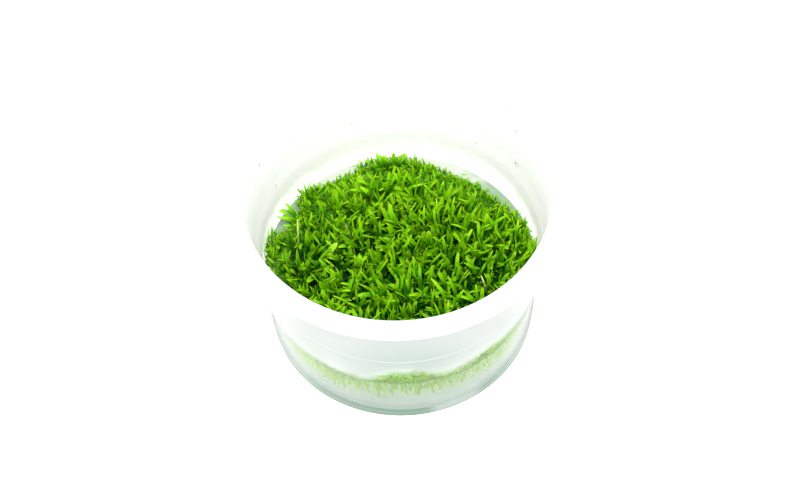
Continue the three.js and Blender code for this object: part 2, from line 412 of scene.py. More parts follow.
def plastic_material(cup):
    """Milky plastic: a thin haze beside the gel, teal above it and round the base, hazier seen aslant,
    with painted shade low on the base and on the middle of the floor and a painted highlight line along
    the shoulder ring.
    """
    material, tree, shader = new_material("Milky plastic", IOR=1.49)
    place = object_place(tree)
    across, depth, height = split_place(tree, place)
    rise = over_leaves(tree, across, depth, height)
    upper = spread(tree, rise, cup.mist_start, cup.mist_full)
    distance = axis_distance(tree, place)
    rim = highest(
        tree,
        spread(tree, distance, cup.base_radius - 4.5 * MM, cup.base_radius - 1.5 * MM),
        spread(tree, distance, cup.base_radius - 0.4 * MM, cup.base_radius - 0.1 * MM),
    )
    # Painted light: the base is lighter where a patch of light washes it at the front right, and a little
    # lighter at the left.
    light_patch = times(tree, band(tree, across, 3, 11), band(tree, across, 19, 27, 1.0, 0.2))
    light_patch = spread(tree, light_patch, 0.0, 1.0, 1.0, 0.4)
    rim = times(tree, rim, light_patch, band(tree, across, -24, -10, 0.75, 1.0))
    foot = times(tree, band(tree, height, 4.8, 6.8, 1.0, 0.0), rim)
    # Painted shade on the thick plastic just above the table.
    sole_shade = times(tree, band(tree, height, 1.6, 4.4, 1.0, 0.0), rim)
    # Painted contact shade where the wall meets the table.
    corner = times(tree, band(tree, height, 0.7, 1.6, 0.75, 0.0), rim)
    # Painted shade on the middle and front of the floor.
    middle = times(
        tree,
        band(tree, height, 1.1, 1.3, 1.0, 0.0),
        math_node(tree, "SUBTRACT", 1.0, rim, True),
        band(tree, depth, 18, 28, 1.0, 0.0),
    )
    # Painted highlight: a thin white line along the shoulder ring, in the flange's white.
    ring = cup.shoulder + 0.3 * MM
    edge = times(
        tree,
        spread(tree, height, ring, ring + 0.3 * MM, 1.0, 0.0),
        spread(tree, height, ring - 0.6 * MM, ring - 0.2 * MM),
    )
    facing = aslant_share(tree)
    aslant = spread(tree, facing, 0.54, 0.95)
    edgewise = spread(tree, facing, 0.74, 0.92)
    milky = mixed(tree, spread(tree, facing, 0.56, 0.7, 0.0, 0.8), cup.plastic, cup.flange)
    thin = mixed(tree, edgewise, lit_haze(tree, cup, height, rise), cup.flange)
    under = highest(tree, sole_shade, middle)
    layers = ((upper, milky), (foot, cup.foot), (under, cup.sole_shade), (corner, PAINTED_CONTACT_SHADE), (edge, cup.flange))
    body = layered(tree, thin, *layers)
    alpha = spread(tree, upper, 0.0, 1.0, 0.15, 0.64)
    veils = ((aslant, 0.14), (edgewise, 0.3), (foot, 0.38), (sole_shade, 0.55), (edge, 0.1), (middle, 0.14))
    for share, strength in veils:
        alpha = plus(tree, alpha, times(tree, share, strength))
    feed(tree, shader, {"Base Color": body, "Alpha": alpha})
    moulded(tree, shader, 0.05, 55.0, 0.3, 0.4)
    return material


def mist_material(cup):
    """The inside of the wall: clear beside the gel, misted above the leaves, with painted white glints
    along the top of the leaves at the front and painted light from the leaves on the mist.
    """
    material, tree, shader = new_material("Misted plastic", IOR=1.45)
    place = object_place(tree)
    across, depth, height = split_place(tree, place)
    fine = noise(tree, place, 700.0, 4.0)
    broad = noise(tree, place, 45.0, 2.0)
    ragged = spread(tree, noise(tree, place, 160.0, 3.0), 0.3, 0.7, -1.0 * MM, 1.0 * MM)
    rise = over_leaves(tree, across, depth, height)
    start = band(tree, depth, -26, -4, cup.mist_start - 1 * MM, cup.mist_start - 3 * MM)
    full = band(tree, depth, -26, -4, cup.mist_full - 0.5 * MM, cup.mist_full - 2 * MM)
    mist = spread(tree, math_node(tree, "ADD", rise, ragged), start, full)
    # Painted glints: white streaks along the top of the leaves on the front wall.
    upright = add(tree, "VectorMath", {0: place, 1: (1, 1, 6)}, operation="MULTIPLY").outputs[0]
    painted_glints = times(
        tree,
        spread(tree, noise(tree, upright, 130.0, 2.0), 0.54, 0.68, 0.0, 0.6),
        band(tree, height, 26, 28),
        band(tree, height, 30, 33, 1.0, 0.0),
        band(tree, depth, -26, -14, 1.0, 0.0),
    )
    cover = plus(
        tree,
        times(tree, mist, spread(tree, broad, 0.25, 0.6, 0.86, 0.92)),
        painted_glints,
        spread(tree, aslant_share(tree), 0.54, 0.95, 0.09, 0.22),
        band(tree, across, -28, -12, 0.1, 0.0),
    )
    # Painted light: the green light that the leaves throw on the mist, low at the front.
    leaf_light = times(tree, band(tree, depth, -26, -4, 0.7, 0.0), band(tree, rise, 27, 33, 1.0, 0.0))
    # Painted: a rosy tint low on the mist at the back that cancels the green light the leaves throw.
    back = times(tree, band(tree, depth, -14, 6), band(tree, height, 28, 50, 1.0, 0.0))
    white = layered(tree, cup.mist, (leaf_light, LEAF_LIT_MIST), (back, BACK_MIST))
    body = mixed(tree, highest(tree, mist, painted_glints), lit_haze(tree, cup, height, rise), white)
    rough = spread(tree, fine, 0.2, 0.8, 0.35, 0.6)
    feed(tree, shader, {"Base Color": body, "Alpha": cover, "Roughness": rough})
    bumped(tree, shader, fine, 0.1, 0.3 * MM)
    return material


def flange_material(cup):
    """The flange, white where the light gathers in it."""
    material, tree, shader = new_material("White flange", IOR=1.49)
    cloud = noise(tree, object_place(tree), 120.0)
    feed(tree, shader, {"Base Color": mixed(tree, cloud, cup.flange, FLANGE_CLOUD)})
    moulded(tree, shader, 0.05, 70.0, 0.22, 0.34)
    return material


def gel_material(gel, name, smooth, rough):
    """Set agar: clear and wet, and tinted in depth."""
    material, tree, shader = new_material(name, IOR=1.34, Transmission_Weight=1.0)
    cloud = noise(tree, object_place(tree), 70.0)
    feed(tree, shader, {"Base Color": mixed(tree, cloud, *GEL_CLOUDS)})
    moulded(tree, shader, 0.03, 80.0, smooth, rough)
    depth = add(tree, "VolumeAbsorption", {"Color": gel.tint, "Density": gel.density})
    feed(tree, tree.nodes["Material Output"], {"Volume": depth.outputs[0]})
    return material


def gel_edge_material(gel):
    """Gel by the wall, painted with the light that gathers there: white at the back, sea green at the
    sides, and painted shade under the edge of the leaves.
    """
    material, tree, shader = new_material("Agar by the wall", IOR=1.34, Roughness=0.12)
    place = object_place(tree)
    distance = axis_distance(tree, place)
    back = math_node(tree, "DIVIDE", split_place(tree, place)[1], distance)
    cloud = spread(tree, noise(tree, place, 260.0, 2.0), 0.3, 0.7, -0.05, 0.05)
    back = spread(tree, math_node(tree, "ADD", back, cloud), 0.70, 0.84)
    # Painted shade under the edge of the leaves.
    under = band(tree, distance, 38.4, 39.6, 1.0, 0.0)
    body = layered(tree, gel.side, (back, gel.back), (under, SHADE_UNDER_LEAVES))
    feed(tree, shader, {"Base Color": body})
    bumped(tree, shader, noise(tree, place, 300.0, 2.0), 0.05, 0.5 * MM)
    return material


def blade_material(name, deep, fresh, pale):
    material, tree, shader = new_material(name, IOR=1.42, Specular_IOR_Level=0.1)
    tone = grouped(tree, blade_tone_group(), Deep=deep, Fresh=fresh, Pale=pale)
    feed(tree, shader, {"Base Color": tone.outputs["Color"], "Roughness": tone.outputs["Roughness"]})
    bumped(tree, shader, tone.outputs["Height"], 0.15, 0.1 * MM)
    return material


def tangle_material(carpet):
    """The tangle of old blades and runners that the blades stand on, near black as painted shade deep in
    the carpet, with painted light at its brink and towards the back.
    """
    material, tree, shader = new_material("Tangle", Roughness=0.6, Specular_IOR_Level=0.1)
    place = object_place(tree)
    knots = noise(tree, place, 1300.0, 4.0, 0.6)
    patch = noise(tree, place, 140.0, 2.0)
    # Painted light at the tangle's outer edge and towards the back.
    brink = spread(tree, axis_distance(tree, place), carpet.radius - 9 * MM, carpet.radius - 4 * MM)
    back = band(tree, split_place(tree, place)[1], 8, 34)
    body = mixed(tree, spread(tree, knots, 0.35, 0.7), *SHADED_TANGLE_KNOTS)
    patch = spread(tree, patch, 0.55, 0.8, 0.0, 0.4)
    body = layered(tree, body, (patch, TANGLE_PATCH), (highest(tree, brink, back), LIT_TANGLE_BRINK))
    feed(tree, shader, {"Base Color": body})
    bumped(tree, shader, knots, 0.8, 0.4 * MM)
    return material


def drop_material():
    """Water drops on the plastic."""
    clear = {"IOR": 1.33, "Transmission_Weight": 1.0, "Base_Color": WATER}
    material, tree, shader = new_material("Water drop", **clear)
    ripple = noise(tree, object_place(tree), 400.0)
    feed(tree, shader, {"Roughness": spread(tree, ripple, 0.3, 0.7, 0.0, 0.03)})
    return material


def floor_material(stage):
    """The pale light table."""
    glow = {"Emission_Color": WHITE, "Emission_Strength": stage.floor_glow}
    material, tree, shader = new_material("Pale table", Roughness=0.7, **glow)
    cloud = noise(tree, object_place(tree), 3.0)
    feed(tree, shader, {"Base Color": mixed(tree, cloud, *TABLE_SHADES)})
    return material


# Mesh helpers.


def spun(profile, steps):
    """A profile turned about the upright axis: a radius, a height and any rounding for each corner."""
    bm = bmesh.new()
    corners = [bm.verts.new((radius, 0, height)) for radius, height, *_ in profile]
    for pair in zip(corners, corners[1:]):
        bm.edges.new(pair)
    for corner, (_, _, *rounding) in zip(corners, profile):
        if rounding:
            bmesh.ops.bevel(
                bm, geom=[corner], offset=rounding[0], offset_type="OFFSET", segments=rounding[1],
                profile=0.5, affect="VERTICES", material=-1,
            )
    bmesh.ops.spin(
        bm, geom=bm.verts[:] + bm.edges[:], cent=(0, 0, 0), axis=(0, 0, 1),
        angle=2 * math.pi, steps=steps, use_merge=True,
    )
    bmesh.ops.remove_doubles(bm, verts=bm.verts, dist=0.002 * MM)
    bmesh.ops.recalc_face_normals(bm, faces=bm.faces)
    return bm


def smoothed(bm, sharp=38.0):
    """Smooth shading that keeps edges sharper than an angle."""
    for face in bm.faces:
        face.smooth = True
    for edge in bm.edges:
        if len(edge.link_faces) == 2 and edge.calc_face_angle(0) > math.radians(sharp):
            edge.smooth = False
    return bm


def shown(name, data):
    """An object in the scene for a mesh, a lamp or a camera."""
    made = bpy.data.objects.new(name, data)
    bpy.context.scene.collection.objects.link(made)
    return made


def finished(name, bm):
    """A mesh of what was shaped."""
    mesh = bpy.data.meshes.new(name)
    bm.to_mesh(mesh)
    bm.free()
    return mesh


def piece(name, mesh, materials, stands_for=()):
    """Makes an object of a mesh, and has it ride on the part."""
    for material in materials:
        mesh.materials.append(material)
    made = shown(name, mesh)
    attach(made, BODY)
    if stands_for:
        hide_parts(*stands_for)
    return made


def joined(name, places, faces, marks, atlas=None, rim=None):
    """One mesh of many like forms: places is forms by vertices by 3, faces is one form's triangles.

    Edges between two vertices of rim, one form's mask, are sharp.
    """
    forms, corners, _ = places.shape
    triangles = (faces[None] + corners * np.arange(forms)[:, None, None]).reshape(-1, 3)
    mesh = bpy.data.meshes.new(name)
    mesh.vertices.add(forms * corners)
    mesh.vertices.foreach_set("co", places.astype(np.float32).ravel())
    mesh.loops.add(triangles.size)
    mesh.loops.foreach_set("vertex_index", triangles.astype(np.int32).ravel())
    mesh.polygons.add(len(triangles))
    mesh.polygons.foreach_set("loop_start", np.arange(len(triangles), dtype=np.int32) * 3)
    for mark, values in marks.items():
        layer = mesh.attributes.new(mark, "FLOAT", "POINT")
        layer.data.foreach_set("value", np.ascontiguousarray(values, np.float32).ravel())
    if atlas is not None:
        layer = mesh.uv_layers.new(name="OFBake")
        layer.data.foreach_set("uv", atlas.astype(np.float32).ravel())
    mesh.update(calc_edges=True)
    mesh.validate()
    mesh.polygons.foreach_set("use_smooth", np.ones(len(mesh.polygons), bool))
    if rim is not None:
        ends = np.empty(len(mesh.edges) * 2, np.int32)
        mesh.edges.foreach_get("vertices", ends)
        mesh.edges.foreach_set("use_edge_sharp", rim[ends.reshape(-1, 2) % corners].all(axis=1))
    return mesh


# The cup.


def outside_radius(cup, height):
    taper = (cup.mouth_radius + cup.wall - cup.shoulder_step - cup.base_radius) / cup.height
    step = np.clip((height - cup.shoulder) / cup.shoulder_rise, 0, 1) * cup.shoulder_step
    return cup.base_radius + taper * height + step


def inside_radius(cup, height):
    return outside_radius(cup, height) - cup.wall


class CULTURE_OT_cup(bpy.types.Operator):
    """Moulds the cup: floor, tapered wall with its shoulder, and flange"""

    bl_idname = "culture.cup"
    bl_label = "Cup"

    def execute(self, context):
        cup = context.scene.culture.cup
        above = cup.shoulder + cup.shoulder_rise
        underside = cup.height - cup.flange_thickness
        foot = cup.height - cup.lip_drop
        lip_inside = cup.flange_radius - cup.lip_width
        soft, small, edge = 2.2 * MM, 0.3 * MM, 0.4 * MM
        profile = [
            (0, 0),
            (cup.base_radius, 0, cup.base_corner, 4),
            (outside_radius(cup, cup.shoulder), cup.shoulder, small, 2),
            (outside_radius(cup, above), above, small, 2),
            (outside_radius(cup, underside), underside, small, 2),
            (lip_inside, underside),
            (lip_inside, foot),
            (cup.flange_radius, foot, small, 2),
            (cup.flange_radius, cup.height, edge, 3),
            (cup.mouth_radius, cup.height, edge, 3),
            (inside_radius(cup, above + soft), above + soft, small, 2),
            (inside_radius(cup, cup.shoulder - soft), cup.shoulder - soft, small, 2),
            (inside_radius(cup, cup.floor), cup.floor, cup.inside_corner, 8),
            (0, cup.floor),
        ]
        bm = smoothed(spun(profile, cup.steps))
        for face in bm.faces:
            middle = face.calc_center_median()
            radius = math.hypot(middle.x, middle.y)
            halfway = outside_radius(cup, middle.z) - cup.wall / 2
            if middle.z > underside - 0.1 * MM or radius > outside_radius(cup, middle.z) + small:
                face.material_index = 2
            elif radius < halfway and middle.z > cup.floor + 2 * MM:
                face.material_index = 1
        materials = [plastic_material(cup), mist_material(cup), flange_material(cup)]
        piece("cup", finished("cup", bm), materials, ("culture_cup",))
        return {"FINISHED"}


# The gel.


class CULTURE_OT_gel(bpy.types.Operator):
    """Pours the agar gel, with the small rise where it clings to the wall"""

    bl_idname = "culture.gel"
    bl_label = "Gel"

    def execute(self, context):
        cup = context.scene.culture.cup
        gel = context.scene.culture.gel
        underside = cup.floor + gel.clearance
        level = gel.top - gel.creep
        ring = 35 * MM
        profile = [
            (0, underside),
            (inside_radius(cup, underside) - gel.clearance, underside, cup.inside_corner, 8),
            (inside_radius(cup, gel.top) - gel.clearance, gel.top),
            (inside_radius(cup, gel.top) - 0.5 * MM, level + 0.05 * MM),
            (inside_radius(cup, gel.top) - 1.6 * MM, level),
            (ring, level),
            (0, level),
        ]
        bm = smoothed(spun(profile, cup.steps))
        for face in bm.faces:
            middle = face.calc_center_median()
            if middle.z < underside + 0.01 * MM:
                face.material_index = 1
            elif middle.z > level - 0.01 * MM and math.hypot(middle.x, middle.y) > ring:
                face.material_index = 2
        materials = [
            gel_material(gel, "Agar gel", 0.01, 0.05),
            gel_material(gel, "Agar gel on the floor", 0.8, 1.0),
            gel_edge_material(gel),
        ]
        piece("gel", finished("gel", bm), materials, ("agar_gel",))
        return {"FINISHED"}


# The carpet.


def hump(turn, middle, half):
    """A soft hump over a range of directions."""
    off = (np.degrees(turn) - middle + 180) % 360 - 180
    return np.exp(-((off / half) ** 4))


def carpet_edge(carpet, turn, deeper=1.0):
    """How far out the carpet's thick part reaches in a direction."""
    return carpet.radius - deeper * sum(depth * hump(turn, middle, half) for middle, half, depth in BAYS)


def turned(turn, out, side=0):
    """Measures out and sideways, turned in their plane."""
    return out * np.cos(turn) - side * np.sin(turn), out * np.sin(turn) + side * np.cos(turn)


def held_in(cup, places, clearance=0.12 * MM, softness=0.6 * MM):
    """Presses what would pass the wall flat against it, front faces still before back faces."""
    reach = np.hypot(places[..., 0], places[..., 1])
    room = inside_radius(cup, np.maximum(places[..., 2], cup.base_corner)) - clearance
    over = np.maximum(reach - (room - softness), 0)
    held = np.where(over > 0, room - softness * np.exp(-over / softness), reach)
    shrink = held / np.maximum(reach, 0.01 * MM)
    places[..., 0] *= shrink
    places[..., 1] *= shrink
    return places


# How far along a blade its point counts from.
POINTED = 0.999
# Places along a blade and a runner from foot to point, and how wide it is there.
BLADE_OUTLINE = ((0, 0.2, 0.42, 0.64, 0.84, 0.95, 1), (0.55, 0.82, 0.98, 1.0, 0.88, 0.55, 0.0))
RUNNER_OUTLINE = ((0, 0.35, 0.7, 1), (0.8, 1.0, 0.8, 0.0))


def form_arrays(bm):
    """A small mesh's vertices and triangles, as arrays."""
    bm.verts.index_update()
    points = np.array([vert.co for vert in bm.verts])
    faces = np.array([[vert.index for vert in face.verts] for face in bm.faces])
    bm.free()
    return points, faces


def blade_form(stations):
    """A pointed, four-sided blade: its vertices' places across, through and along, and its faces."""
    bm = bmesh.new()
    standing = Matrix.Translation((0, 0, 0.5))
    bmesh.ops.create_cone(bm, cap_ends=True, segments=4, radius1=1, radius2=0, depth=1, matrix=standing)
    bmesh.ops.remove_doubles(bm, verts=bm.verts, dist=1e-4)
    for station in stations:
        geometry = bm.verts[:] + bm.edges[:] + bm.faces[:]
        bmesh.ops.bisect_plane(bm, geom=geometry, plane_co=(0, 0, station), plane_no=(0, 0, 1))
    bmesh.ops.triangulate(bm, faces=bm.faces)
    bmesh.ops.recalc_face_normals(bm, faces=bm.faces)
    points, faces = form_arrays(bm)
    along = points[:, 2]
    taper = np.maximum(1 - along, 1e-6)
    across = np.where(along > POINTED, 0, points[:, 0] / taper)
    through = np.where(along > POINTED, 0, points[:, 1] / taper)
    return across, through, along, faces


def grown(form, blades, outline, thickness, channel=0.16):
    """Places of every blade's vertices. blades holds one array for each of its measures."""
    across, through, along, _ = form
    along = along[None]
    wide = np.interp(along, *outline) * blades["width"][:, None] / 2
    curl = np.where(np.abs(blades["curl"]) < 1e-3, 1e-3, blades["curl"])[:, None]
    start = blades["lean"][:, None]
    bend = start + curl * along
    out = blades["length"][:, None] * (np.cos(start) - np.cos(bend)) / curl
    up = blades["length"][:, None] * (np.sin(bend) - np.sin(start)) / curl
    sideways = across[None] * wide
    edge_lift = np.abs(across[None]) * channel * wide
    inward = edge_lift + through[None] * thickness * wide
    side, face = turned(blades["roll"][:, None] + blades["twist"][:, None] * along, sideways, inward)
    out = out - face * np.cos(bend)
    up = up + face * np.sin(bend)
    foot = np.stack([blades["x"], blades["y"], blades["z"]], axis=-1)[:, None]
    return foot + np.stack([*turned(blades["turn"][:, None], out, side), up], axis=-1)


def atlas_places(form, count):
    """Where the blades lie on the texture: a cell for each, with its two faces side by side in it."""
    across, through, along, faces = form
    back = (through[faces].mean(axis=1) < 0).astype(float)
    u = 0.25 + across[faces] * 0.22 + back[:, None] * 0.5
    v = 0.04 + along[faces] * 0.92
    rows = math.ceil(math.sqrt(count))
    cells = np.stack([np.arange(count) % rows, np.arange(count) // rows], axis=-1)
    return (np.stack([u, v], axis=-1)[None] + cells[:, None, None, :]) / rows


def blade_piece(name, cup, blades, material, outline=BLADE_OUTLINE, thickness=0.12):
    """Makes one piece of many blades."""
    form = blade_form(outline[0][1:-1])
    across, _, along, faces = form
    places = held_in(cup, grown(form, blades, outline, thickness))
    count, corners, _ = places.shape
    marks = (
        np.repeat(blades["tone"], corners),
        np.tile(along, count),
        np.tile(np.abs(across), count),
        np.repeat(blades.get("dry", np.zeros(count)), corners),
    )
    rim = (np.abs(across) > 0.99) | (along > POINTED)
    mesh = joined(name, places, faces, dict(zip(BLADE_MARKS, marks)), atlas_places(form, count), rim)
    return piece(name, mesh, [material])


def spots(rng, carpet, count, reach=1.0, jitter=0.45):
    """Places spread evenly over the carpet, with a little disorder, and how far out each one is."""
    order = np.arange(count)
    turn = (order * GOLDEN_ANGLE + rng.normal(0, 0.02, count)) % (2 * math.pi)
    share = np.sqrt((order + 0.5) / count)
    radius = share * carpet_edge(carpet, turn, 1.4) * reach
    x, y = turned(turn, radius) + rng.normal(0, jitter * MM, (2, count))
    return x, y, share


def leaning(own, turn, shared_x, shared_y):
    """A blade's own lean joined to its plantlet's: the lean and the direction that come out."""
    x, y = turned(turn, np.tan(own))
    x, y = x + shared_x, y + shared_y
    return np.arctan(np.hypot(x, y)), np.arctan2(y, x)


def angles(rng, middle, deviation, count):
    """Random angles about a middle, given in degrees."""
    return np.radians(rng.normal(middle, deviation, count))


def bay_share(carpet, turn):
    """How much of a bay there is in a direction."""
    return np.clip((carpet.radius - carpet_edge(carpet, turn)) / DEEP_BAY, 0, 1)


def sunken(turn, share=1.0):
    """How much lower the carpet lies by the wall, from a share of the way out."""
    low = sum(depth * hump(turn, middle, half) for middle, half, depth in SINKS)
    return low * np.clip((share - 0.78) / 0.15, 0, 1)


def canopy_blades(rng, carpet):
    """Plantlets of a few blades each that fan out from one foot."""
    plantlets, each = carpet.plantlets, carpet.plantlet_blades
    count = plantlets * each
    x, y, share = (np.repeat(values, each) for values in spots(rng, carpet, plantlets, 0.985, 0.9))
    brink = np.clip((share - 0.84) / 0.13, 0, 1) * bay_share(carpet, np.arctan2(y, x))
    shared = rng.normal(0, 0.15, (2, plantlets)).repeat(each, axis=1)
    shared = shared - 0.55 * brink * np.stack([x, y]) / np.hypot(x, y)
    vigour = rng.normal(1.05, 0.10, plantlets).repeat(each)
    own = np.abs(angles(rng, 6, 10, count))
    lean, turn = leaning(own, rng.uniform(0, 2 * math.pi, count), *shared)
    # Finer by the wall at the back and in low waves; painted light makes them paler at the back and on
    # top.
    fine = np.clip((share - 0.7) / 0.2, 0, 1) * np.clip(0.5 + y / (40 * MM), 0, 1)
    swell = np.sin(x / (5.1 * MM) + 0.7) * np.cos(y / (6.3 * MM)) * 0.06
    tone = rng.normal(0.70, 0.12, plantlets).repeat(each) + rng.normal(0, 0.15, count)
    # Painted light: paler at the back.
    back = np.clip(y / (38 * MM), 0, 1)
    tone = tone + 0.34 * back
    vigour = (vigour + swell) * rng.normal(1, 0.12, count)
    curl = angles(rng, 27, 30, count)
    # Painted light and shade: blades that rise high are paler, those that lean or stay short darker.
    tone = tone + 0.6 * (vigour * np.cos(lean + curl / 2) - 0.7)
    low = sunken(np.arctan2(y, x), share)
    small = (1 - 0.30 * fine) * (1 - 0.30 * brink) * (1 - 0.35 * low)
    for across, behind, room in CLEARINGS:
        near = np.hypot(x - across * MM, y - behind * MM) < room * MM
        small = small * np.where(near, 0.45, 1)
    return {
        "x": x + rng.normal(0, 0.3 * MM, count),
        "y": y + rng.normal(0, 0.3 * MM, count),
        "z": carpet.ground - (1.0 + 2.6 * low) * MM,
        "turn": turn,
        "lean": lean,
        "curl": curl,
        "roll": angles(rng, 0, 32, count),
        "twist": angles(rng, 0, 70, count),
        "length": carpet.blade_length * vigour * small,
        "width": carpet.blade_width * rng.normal(0.98, 0.32, count).clip(0.4, 1.9) * (1 - 0.5 * fine),
        "tone": (tone + 0.2 * fine + 0.2 * brink).clip(0.2, 1.15),
        "dry": (rng.random(count) > 0.996) * rng.uniform(0.2, 0.7, count),
    }


def understory_blades(rng, carpet):
    """Small shaded blades between the plantlets."""
    count = carpet.lower_count
    x, y, _ = spots(rng, carpet, count)
    # Painted light: paler at the back.
    back = np.clip(y / (36 * MM), 0, 1)
    return {
        "x": x,
        "y": y,
        "z": carpet.ground - 0.8 * MM + rng.normal(0, 0.3 * MM, count),
        "turn": rng.uniform(0, 2 * math.pi, count),
        "lean": np.radians(rng.uniform(10, 65, count)),
        "curl": angles(rng, 20, 35, count),
        "roll": angles(rng, 0, 40, count),
        "twist": angles(rng, 0, 50, count),
        "length": carpet.blade_length * rng.uniform(0.3, 0.6, count),
        "width": carpet.blade_width * rng.uniform(0.4, 0.8, count),
        "tone": rng.uniform(0.0, 0.4, count) + 0.8 * back,
    }


def wall_blades(rng, carpet):
    """Blades that have grown out to the wall and lie against it."""
    count = carpet.wall_count
    angle_round = rng.uniform(0, 2 * math.pi, count)
    radius = carpet_edge(carpet, angle_round) - rng.uniform(-0.3 * MM, 3.2 * MM, count)
    bay = bay_share(carpet, angle_round)
    low = sunken(angle_round)
    rise = rng.uniform(0, 3 * MM, count) * (1 - bay) * (1 - 0.8 * low)
    x, y = turned(angle_round, radius)
    return {
        "x": x,
        "y": y,
        "z": carpet.ground - (1.2 + 2.2 * low) * MM + rise,
        "turn": angle_round + rng.normal(0, 1.1, count),
        "lean": np.abs(angles(rng, 12, 24, count)) * (1 - 0.6 * bay),
        "curl": angles(rng, 15, 40, count),
        "roll": angles(rng, 0, 30, count),
        "twist": angles(rng, 0, 40, count),
        "length": carpet.blade_length * rng.uniform(0.4, 0.75, count) * (1 - 0.4 * bay) * (1 - 0.4 * low),
        "width": carpet.blade_width * rng.uniform(0.52, 1.0, count) * (1 - 0.3 * bay),
        "tone": rng.normal(1.0, 0.15, count).clip(0.3, 1.1) + 0.15 * bay,
        "dry": 0.3 * low,
    }


def marked_blades():
    """The blades that stand out: tufts at the back and the left, a broad leaf and pale stems."""
    names = ("x", "y", "z", "turn", "lean", "curl", "length", "width", "tone", "dry")
    # Lengths are in mm, the turn in radians, the lean and the curl in degrees.
    rows = [
        (-0.6, 36.0, 22.6, 1.6, 4, 10, 8.1, 1.5, 0.9, 0),
        (-1.0, 36.2, 22.6, 3.1, 5, 36, 8.3, 1.7, 0.85, 0),
        (0.4, 36.0, 22.6, 0.0, 8, 26, 7.7, 1.4, 0.9, 0),
        (0.0, 35.4, 22.6, 4.1, 12, 30, 7.2, 1.3, 0.9, 0),
        (0.3, 35.4, 22.6, 5.4, 16, 34, 6.8, 1.3, 0.8, 0),
        (0.9, 36.2, 22.6, 0.9, 14, 30, 6.6, 1.2, 0.85, 0),
        (-1.5, 35.8, 22.6, 2.5, 14, 40, 6.9, 1.2, 0.85, 0),
        (-3.4, 36.4, 22.6, 2.2, 12, 50, 6.2, 1.0, 0.9, 0),
        (-5.2, 36.8, 22.6, 1.9, 8, 60, 6.0, 1.0, 0.9, 0),
        (-7.0, 36.4, 22.6, 2.6, 14, 60, 5.6, 1.0, 0.9, 0),
        (2.2, 36.8, 22.6, 1.2, 12, 50, 5.4, 0.9, 0.9, 0),
        (-24.6, 0.2, 23.6, 0.43, 26, 26, 9.8, 2.2, 1.15, 0.08),
        (25.9, -13.2, 23.6, 2.25, 10, 26, 7.4, 0.6, 1.0, 0.6),
        (-27.2, -10.0, 22.4, 4.7, 14, 8, 5.3, 0.6, 1.0, 0.85),
        (-25.9, -9.6, 22.4, 3.9, 10, 20, 5.0, 0.5, 1.0, 0.7),
        (-19.6, -12.4, 22.4, 5.6, 26, 50, 7.0, 0.9, 1.0, 0.25),
        (-33.6, 17.6, 22.6, 2.7, 18, 70, 6.8, 1.0, 1.0, 0.1),
        (-34.0, 16.6, 22.6, 2.9, 30, 60, 6.2, 0.9, 1.0, 0.1),
        (-33.0, 18.4, 22.6, 2.2, 12, 60, 6.4, 1.0, 1.0, 0),
        (-32.8, 16.4, 22.6, 3.1, 24, 50, 6.0, 1.0, 1.1, 0),
        (-32.4, 19.4, 22.6, 2.5, 20, 50, 6.2, 1.1, 1.1, 0),
        (-32.0, 17.6, 22.6, 3.3, 34, 40, 6.4, 1.0, 1.15, 0),
        (-33.2, 19.6, 22.6, 2.9, 26, 60, 5.4, 0.9, 1.1, 0),
        (-32.6, 15.2, 22.6, 3.5, 26, 50, 5.6, 0.9, 1.1, 0),
        (-34.4, 18.0, 22.4, 2.3, 40, 40, 4.6, 0.9, 1.0, 0.1),
    ]
    blades = dict(zip(names, np.array(rows, float).T))
    for name in ("x", "y", "z", "length", "width"):
        blades[name] = blades[name] * MM
    for name in ("lean", "curl"):
        blades[name] = np.radians(blades[name])
    blades["roll"] = blades["twist"] = np.zeros(len(rows))
    return blades


def together(*groups):
    """Groups of blades as one."""
    return {
        name: np.concatenate([group.get(name, np.zeros(len(group["x"]))) for group in groups])
        for name in groups[0]
    }


class CULTURE_OT_tangle(bpy.types.Operator):
    """Grows the dense low tangle that roots in the gel and carries the blades"""

    bl_idname = "culture.tangle"
    bl_label = "Tangle"

    def execute(self, context):
        carpet = context.scene.culture.carpet
        gel = context.scene.culture.gel
        rings, steps = 26, 160
        low = gel.top - gel.creep
        reach = carpet.radius - 0.5 * MM
        profile = [(0, low - 0.4 * MM), (reach, low - 0.4 * MM)]
        profile += [(reach * ring / rings, carpet.ground) for ring in range(rings, -1, -1)]
        bm = spun(profile, steps)
        rng = np.random.default_rng(carpet.seed)
        for vert in bm.verts:
            turn = math.atan2(vert.co.y, vert.co.x)
            draw = float(carpet_edge(carpet, np.array([turn]))[0]) / carpet.radius
            vert.co.x *= draw
            vert.co.y *= draw
            if vert.co.z > low:
                share = math.hypot(vert.co.x, vert.co.y) / carpet.radius
                vert.co.z += rng.normal(-0.3 * MM, 0.35 * MM) - 1.2 * MM * float(sunken(turn, share))
        bmesh.ops.recalc_face_normals(bm, faces=bm.faces)
        mesh = finished("tangle", smoothed(bm, 80))
        piece("tangle", mesh, [tangle_material(carpet)], ("plant_mat",))
        return {"FINISHED"}


class CULTURE_OT_blades(bpy.types.Operator):
    """Grows the leaf blades: those that show, the small ones below and those against the wall"""

    bl_idname = "culture.blades"
    bl_label = "Blades"

    def execute(self, context):
        cup = context.scene.culture.cup
        carpet = context.scene.culture.carpet
        rng = np.random.default_rng(carpet.seed + 1)
        leaf = blade_material("Leaf blade", carpet.deep, carpet.fresh, carpet.pale)
        shaded = blade_material("Shaded blade", carpet.deep, SHADED_FRESH, carpet.fresh)
        blade_piece("canopy_blades", cup, together(canopy_blades(rng, carpet), marked_blades()), leaf)
        blade_piece("understory_blades", cup, understory_blades(rng, carpet), shaded)
        blade_piece("wall_blades", cup, wall_blades(rng, carpet), leaf)
        return {"FINISHED"}


